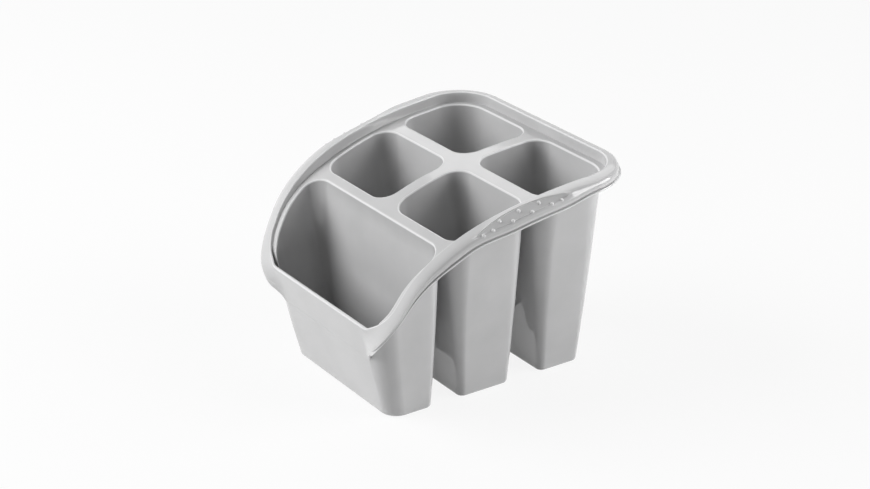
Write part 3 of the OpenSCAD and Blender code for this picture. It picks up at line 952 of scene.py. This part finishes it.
    def build(self) -> bpy.types.Object:
        """Makes the pocket.

        Returns:
            The pocket's object, with its drain holes cut.
        """
        piece = closed_skin(self.name + "_shell", self.rings(), looped=False)
        radius, depth = self.drain_d / 2 * MM, (self.floor + 4) * MM
        shape = bmesh.new()
        for x, y in self.drain_centres():
            place = Matrix.Translation((x * MM, y * MM, self.floor / 2 * MM))
            bmesh.ops.create_cone(shape, cap_ends=True, segments=self.drain_sides, radius1=radius,
                                  radius2=radius, depth=depth, matrix=place)
        mesh = bpy.data.meshes.new(self.name + "_drill")
        shape.to_mesh(mesh)
        shape.free()
        drill = stand(self.name + "_drill", mesh)
        cut = piece.modifiers.new("drains", "BOOLEAN")
        cut.object, cut.operation, cut.solver = drill, "DIFFERENCE", "EXACT"
        drilled = bpy.data.meshes.new_from_object(
            piece.evaluated_get(bpy.context.evaluated_depsgraph_get()))
        piece.modifiers.clear()
        piece.data = drilled
        bpy.data.objects.remove(drill)
        smooth(piece.data)
        return piece

    def dress(self, piece: bpy.types.Object, finish: bpy.types.Material) -> None:
        """Gives the pocket its finish and puts it in the node's place."""
        dress_piece(piece, finish, self.name)


def dress_piece(piece: bpy.types.Object, finish: bpy.types.Material, node: str) -> None:
    """Gives a piece its finish, stands it in for its CAD node and reports it.

    Args:
        piece: The dressed object.
        finish: Its material.
        node: The CAD node that it replaces.
    """
    mark_edges(piece)
    piece.data.materials.clear()
    piece.data.materials.append(finish)
    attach(piece, BODY)
    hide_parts(node)
    LOG.info("%s: %d faces for %s", piece.name, len(piece.data.polygons), node)


@dataclass
class FrontPocket(Pocket):
    """The wide low pocket behind the front lip."""

    drains_across: int = 7
    front_base_corner: float = 12.0

    def base_x(self) -> Pair:
        """Left and right edges of the base."""
        return (-self.base_half, self.base_half)

    def loop(self) -> list[Entry]:
        """Places once round the pocket.

        Returns:
            The places, from the middle of the front lip.
        """
        tray = self.tray
        r, bx = self.front_base_corner, self.base_half - self.base_corner
        bx0 = self.base_half - r
        y0, y1 = self.base_y()
        b0, b1 = y0 + r, y1 - self.base_corner
        divider, mouth = tray.front_divider_at, tray.front_mouth_to
        hi = mouth - tray.mouth_corner
        x_hi = tray.half_width(hi) - tray.ledge - tray.mouth_corner
        half = [Entry((st.x, 0.0), (st.x, 0.0), (bx0 * st.x / tray.front_straight_x, y0), 270.0, st)
                for st in tray.front_run()]
        for st in tray.front_bend():
            entry = self.rim_entry(st, arc_at((bx0, b0), r, st.turn))
            half.append(Entry(entry.cell, entry.mouth, entry.base, 360.0 + st.turn, st))
        half += self.rim_edge(tray.sides(tray.front_corner, hi, tray.edge_steps),
                              ((self.base_half, b0), (self.base_half, b1)))
        edge_x = tray.half_width(divider)
        half += self.corner(0.0, ((tray.half_width(hi), hi), (edge_x, divider), (x_hi, divider)),
                            (x_hi, hi), (bx, b1), rim_first=True)
        half += self.edge(90.0, ((x_hi, divider), (0.0, divider)), ((x_hi, mouth), (0.0, mouth)),
                          ((bx, y1), (0.0, y1)))
        middle = Entry((0.0, divider), (0.0, mouth), (0.0, y1), 90.0)
        return half + [middle] + [e.mirrored() for e in reversed(half[1:])]


@dataclass
class SmallPocket(Pocket):
    """One of the four small pockets behind the front one."""

    row: Row = Row.MIDDLE
    side: Side = Side.RIGHT
    base_gap: float = 26.0

    def base_x(self) -> Pair:
        """Left and right edges of the base."""
        edges = [self.side.value * self.base_gap / 2, self.side.value * self.base_half]
        return (min(edges), max(edges))

    def loop(self) -> list[Entry]:
        """Places once round the pocket, mirrored for a left one."""
        right = self.right_loop()
        return right if self.side is Side.RIGHT else [e.mirrored() for e in reversed(right)]

    def right_loop(self) -> list[Entry]:
        """Places once round the right pocket of the row.

        Returns:
            The places, from the front end of its inner edge.
        """
        tray, r = self.tray, self.base_corner
        rear = self.row is Row.REAR
        s0 = tray.rear_divider_at if rear else tray.front_divider_at
        s1 = tray.length if rear else tray.rear_divider_at
        m0, m1 = tray.mouth_span(self.row)
        corner = tray.mouth_corner
        x0, lo, hi = tray.mouth_in + corner, m0 + corner, m1 - corner
        x_lo, x_hi = (tray.half_width(s) - tray.ledge - corner for s in (lo, hi))
        bx0, bx1 = self.base_gap / 2 + r, self.base_half - r
        y0, y1 = self.base_y()
        b0, b1 = y0 + r, y1 - r
        loop = self.corner(180.0, ((0.0, lo), (0.0, s0), (x0, s0)), (x0, lo), (bx0, b0))
        loop += self.edge(270.0, ((x0, s0), (x_lo, s0)), ((x0, m0), (x_lo, m0)), ((bx0, y0), (bx1, y0)))
        loop += self.corner(270.0, ((x_lo, s0), (tray.half_width(s0), s0), (tray.half_width(lo), lo)),
                            (x_lo, lo), (bx1, b0), rim_last=True)
        side_end = tray.length - tray.back_corner if rear else hi
        loop += self.rim_edge(tray.sides(lo, side_end, tray.edge_steps),
                              ((self.base_half, b0), (self.base_half, b1)))
        if rear:
            loop += [self.rim_entry(st, arc_at((bx1, b1), r, st.turn)) for st in tray.back_bend()]
            back = [Station(x, tray.length, 90.0) for x in steps(tray.edge_steps, tray.back_straight_x, x0)]
            loop += self.rim_edge(back, ((bx1, y1), (bx0, y1)))
        else:
            loop += self.corner(0.0, ((tray.half_width(hi), hi), (tray.half_width(s1), s1), (x_hi, s1)),
                                (x_hi, hi), (bx1, b1), rim_first=True)
            loop += self.edge(90.0, ((x_hi, s1), (x0, s1)), ((x_hi, m1), (x0, m1)), ((bx1, y1), (bx0, y1)))
        loop += self.corner(90.0, ((x0, s1), (0.0, s1), (0.0, hi)), (x0, hi), (bx0, b1), rim_first=rear)
        inner = self.base_gap / 2
        loop += self.edge(180.0, ((0.0, hi), (0.0, lo)), ((tray.mouth_in, hi), (tray.mouth_in, lo)),
                          ((inner, b1), (inner, b0)))
        return loop


@dataclass
class Rim:
    """The rolled rim round the tray, with its crease, lip and small flange."""

    tray: TrayForm
    name: str = "rim"
    sharp_deg: float = 42.0
    slot: str = "body_plastic"

    def build(self) -> bpy.types.Object:
        """Sweeps the rim round the tray.

        Returns:
            The rim's object.
        """
        tray = self.tray
        rings = [[tray.rim_point(st, o, v) for o, v in tray.section(st)] for st in tray.rim_stations()]
        return closed_skin(self.name + "_band", rings, looped=True, sharp_deg=self.sharp_deg)

    def dress(self, piece: bpy.types.Object, finish: bpy.types.Material) -> None:
        """Gives the rim its finish and puts it in the node's place."""
        dress_piece(piece, finish, self.name)


@dataclass
class Grip:
    """A lens-shaped grip panel let into the band, with its zigzag of pips."""

    tray: TrayForm
    side: Side
    seam: float = 0.3
    crease_gap: float = 0.35
    panel_tip: float = 0.25
    panel_span: float = 0.845
    panel_rings: int = 60
    pip_d: float = 2.6
    pip_h: float = 1.15
    pip_sides: int = 24
    pip_count: int = 9
    pip_span: float = 0.715
    pip_rows: Pair = (0.27, 0.73)
    slot: str = "grip_plastic"

    @property
    def name(self) -> str:
        """The panel's node."""
        return self.side.name.lower() + "_grip"

    def seat(self, s: float, o: float, v: float) -> Vector:
        """A point over the grip's facet.

        Args:
            s: Length along the tray.
            o: Distance outward from the rim's inner edge.
            v: Height square to the facet.

        Returns:
            The point in millimetres.
        """
        st = self.tray.side_at(s)
        b, edge = self.tray.band_width(st), self.tray.lens_at(st)
        full = self.tray.crease_fall(st)[1]
        across = Vector((b - edge, -full - self.tray.fall(st, edge)))
        normal = Vector((-across.y, across.x)).normalized() if across.length > 1e-6 else Vector((0.0, 1.0))
        p = self.tray.rim_point(st, o + normal.x * v, self.tray.fall(st, o) + normal.y * v)
        return Vector((self.side.value * p.x, p.y, p.z))

    def build_panel(self) -> bpy.types.Object:
        """Makes the lens panel, a thin plate with softened edges.

        Returns:
            The panel's object, let into the band.
        """
        tray = self.tray
        half, under = tray.grip_length / 2, tray.panel_t - 0.02
        # The plate's section: share of its width, and depth below its top.
        across = [(0.0, 0.15), (0.03, 0.05), (0.1, 0.0), (0.35, 0.0), (0.65, 0.0), (0.9, 0.0),
                  (0.97, 0.05), (1.0, 0.15), (1.0, under), (0.0, under)]
        rings = []
        for i in range(self.panel_rings + 1):
            s = tray.grip_at - half * math.cos(math.pi * i / self.panel_rings) * self.panel_span
            st = tray.side_at(s)
            low = tray.lens_at(st) + self.seam
            high = max(tray.band_width(st) - tray.crease_round - self.crease_gap, low + self.panel_tip)
            top = -tray.step_at(s)
            rings.append([self.seat(s, mix(low, high, t), top - fall) for t, fall in across])
        return closed_skin(self.name + "_panel", rings, looped=False)

    def pip_places(self) -> list[Pair]:
        """Places of the pips in their zigzag.

        Returns:
            Lengths along the tray, and distances out from the rim's inner edge.
        """
        tray, last = self.tray, self.pip_count - 1
        pitch = tray.grip_length * self.pip_span / last
        found = []
        for k in range(self.pip_count):
            s = tray.grip_at + (k - last / 2) * pitch
            st = tray.side_at(s)
            upper = k % 2 == 0 and 0 < k < last
            found.append((s, mix(tray.lens_at(st), tray.band_width(st), self.pip_rows[0 if upper else 1])))
        return found

    def pip_rings(self, s: float, o: float) -> list[Ring]:
        """Rings of one pip.

        Args:
            s: Length along the tray.
            o: Distance out from the rim's inner edge.

        Returns:
            The rings, from under the panel's face up to the top of the dome.
        """
        foot = -self.tray.step_at(s)
        centre = self.seat(s, o, foot)
        up = (self.seat(s, o, foot + 1.0) - centre).normalized()
        along = (self.seat(s + 0.5, o, foot) - self.seat(s - 0.5, o, foot)).normalized()
        across = along.cross(up).normalized()
        along = up.cross(across)
        profile = [(1.0, -0.15)] + [(c, self.pip_h * v) for c, v in quarter(6)[:-1]] + [(0.08, self.pip_h)]
        turns = steps(self.pip_sides, 0.0, 2 * math.pi)
        return [[centre + (across * math.cos(a) + along * math.sin(a)) * (r * self.pip_d / 2) + up * h
                 for a in turns] for r, h in profile]

    def build_pips(self) -> bpy.types.Object:
        """Makes the pips, low domes that stand on the panel.

        Returns:
            One object with all the domes.
        """
        domes = [closed_skin(f"{self.name}_pip_{i + 1}", self.pip_rings(s, o), looped=False)
                 for i, (s, o) in enumerate(self.pip_places())]
        shape = bmesh.new()
        for dome in domes:
            shape.from_mesh(dome.data)
            bpy.data.objects.remove(dome)
        mesh = bpy.data.meshes.new(self.name + "_pips")
        shape.to_mesh(mesh)
        shape.free()
        mesh.shade_smooth()
        return stand(self.name + "_pip_domes", mesh)

    def dress(self, panel: bpy.types.Object, pips: bpy.types.Object, finish: bpy.types.Material) -> None:
        """Gives the grip its finish and puts it in its nodes' place."""
        dress_piece(panel, finish, self.name)
        dress_piece(pips, finish, self.name + "_pips")


def way_to(azimuth: float, elevation: float) -> Vector:
    """The way from the drainer to a place round it: azimuth 0 is in front and 90 to the right, in degrees."""
    az, el = math.radians(azimuth), math.radians(elevation)
    return Vector((math.sin(az) * math.cos(el), -math.cos(az) * math.cos(el), math.sin(el)))


@dataclass(frozen=True)
class SoftLamp:
    """A square soft lamp that faces the middle of the drainer, sized in metres.

    A mirrored lamp shows as a highlight on gloss.
    """

    name: str
    azimuth: float
    elevation: float
    size: float
    watts: float
    mirrored: bool
    distance: float = 1.6
    aim_height: float = 0.07

    def build(self) -> None:
        """Hangs the lamp."""
        way = way_to(self.azimuth, self.elevation)
        light = bpy.data.lights.new(self.name, "AREA")
        light.shape, light.size, light.energy = "SQUARE", self.size, self.watts
        lamp = stand(self.name, light)
        lamp.visible_glossy = self.mirrored
        lamp.location = way * self.distance + Vector((0.0, 0.0, self.aim_height))
        lamp.rotation_euler = (-way).to_track_quat("-Z", "Y").to_euler()


@dataclass
class Studio:
    """White ground, soft light and the camera at the photograph's viewing angle.

    The camera's numbers are from a view whose front lip lies at lip_y.
    """

    azimuth: float = 55.75
    elevation: float = 24.14
    focal_px: float = 2083.2
    distance: float = 1412.1
    right_shift: float = 9.63
    up_shift: float = -71.96
    lip_y: float = -102.3
    sensor_width: float = 36.0
    world_light: float = 0.01
    floor_reach: float = 6.0
    floor_paint: float = 0.72
    floor_shade: float = 0.12
    lamps: tuple[SoftLamp, ...] = (
        SoftLamp("key", 325.0, 32.0, 1.3, 36.0, mirrored=False),
        SoftLamp("counter", 137.0, 20.0, 1.2, 26.0, mirrored=True),
        SoftLamp("back", 225.0, 50.0, 1.2, 5.0, mirrored=True))

    def camera(self, tray: TrayForm) -> None:
        """Places the camera.

        Args:
            tray: The tray that it looks at.
        """
        back = way_to(self.azimuth, self.elevation)
        right = way_to(self.azimuth + 90.0, 0.0)
        up = back.cross(right)
        spot = back * self.distance - right * self.right_shift - up * self.up_shift
        spot.y += tray.front_at - self.lip_y
        lens = bpy.data.cameras.new("camera")
        lens.sensor_width = self.sensor_width
        lens.lens = self.focal_px * self.sensor_width / PHOTO_WIDTH
        camera = stand("camera", lens)
        camera.matrix_world = Matrix((right, up, back)).transposed().to_4x4()
        camera.matrix_world.translation = spot * MM
        bpy.context.scene.camera = camera

    @staticmethod
    def split(tree: bpy.types.NodeTree, soft: bpy.types.Node, seen: bpy.types.Node, share: float,
              output: str) -> None:
        """Shows one shader to the camera and in gloss, and lets another carry the soft light.

        Args:
            tree: The nodes of the floor or of the surround.
            soft: The shader for rays that carry soft light.
            seen: The shader for rays from the camera or off a gloss.
            share: How much of the seen shader those rays get.
            output: The kind of output node.
        """
        nodes, links = tree.nodes, tree.links
        path = nodes.new("ShaderNodeLightPath")
        total = path.outputs["Is Camera Ray"]
        for name in ("Is Glossy Ray", "Is Transmission Ray"):
            either = nodes.new("ShaderNodeMath")
            either.operation = "MAXIMUM"
            links.new(total, either.inputs[0])
            links.new(path.outputs[name], either.inputs[1])
            total = either.outputs[0]
        part = nodes.new("ShaderNodeMath")
        part.operation = "MULTIPLY"
        part.inputs[1].default_value = share
        mixed, out = nodes.new("ShaderNodeMixShader"), nodes.new(output)
        links.new(total, part.inputs[0])
        links.new(part.outputs[0], mixed.inputs["Fac"])
        links.new(soft.outputs[0], mixed.inputs[1])
        links.new(seen.outputs[0], mixed.inputs[2])
        links.new(mixed.outputs[0], out.inputs["Surface"])

    def world(self) -> None:
        """Makes a white surround that lights the object softly."""
        world = bpy.data.worlds.new("surround")
        bpy.context.scene.world = world
        world.use_nodes = True
        nodes = world.node_tree.nodes
        nodes.clear()
        soft, seen = nodes.new("ShaderNodeBackground"), nodes.new("ShaderNodeBackground")
        soft.inputs["Strength"].default_value = self.world_light
        for background in (soft, seen):
            background.inputs["Color"].default_value = WHITE
        self.split(world.node_tree, soft, seen, 1.0, "ShaderNodeOutputWorld")

    def floor(self) -> None:
        """Lays a white floor that keeps a faint shadow."""
        mesh = bpy.data.meshes.new("floor")
        corners = [(x * self.floor_reach, y * self.floor_reach, 0.0)
                   for x, y in ((-1, -1), (1, -1), (1, 1), (-1, 1))]
        mesh.from_pydata(corners, [], [(0, 1, 2, 3)])
        floor = stand("floor", mesh)
        material = bpy.data.materials.new("white_floor")
        material.use_nodes = True
        nodes = material.node_tree.nodes
        nodes.clear()
        paint, glow = nodes.new("ShaderNodeBsdfDiffuse"), nodes.new("ShaderNodeEmission")
        paint.inputs["Color"].default_value = (self.floor_paint, self.floor_paint, self.floor_paint, 1.0)
        self.split(material.node_tree, paint, glow, 1.0 - self.floor_shade, "ShaderNodeOutputMaterial")
        mesh.materials.append(material)

    def build(self, tray: TrayForm) -> None:
        """Sets up the whole studio.

        Args:
            tray: The tray that the camera looks at.
        """
        self.camera(tray)
        self.world()
        self.floor()
        for lamp in self.lamps:
            lamp.build()
        bpy.context.scene.view_settings.view_transform = "Standard"


def main() -> None:
    """Builds and dresses every piece, then sets up the studio."""
    logging.basicConfig(level=logging.INFO, format="%(name)s: %(message)s")
    tray = TrayForm()
    body = MouldedPlastic("satin_grey_plastic").make()
    grip_finish = MouldedPlastic("grip_grey_plastic", colour=(0.49, 0.49, 0.493), roughness=(0.12, 0.2),
                                 grain_depth=0.000015).make()
    rim = Rim(tray)
    rim.dress(rim.build(), body)
    pockets: list[Pocket] = [FrontPocket(tray, "front_pocket", base_at=tray.front_base_at, base_depth=33.0)]
    for row, base_at, base_depth in ((Row.MIDDLE, 69.4, 40.0), (Row.REAR, 133.6, 33.0)):
        for side in Side:
            name = f"{row.value}_{side.name.lower()}_pocket"
            pockets.append(SmallPocket(tray, name, base_at, base_depth, row=row, side=side))
    for pocket in pockets:
        pocket.dress(pocket.build(), body)
    for side in Side:
        grip = Grip(tray, side)
        grip.dress(grip.build_panel(), grip.build_pips(), grip_finish)
    Studio().build(tray)


if __name__ == "__main__":
    main()
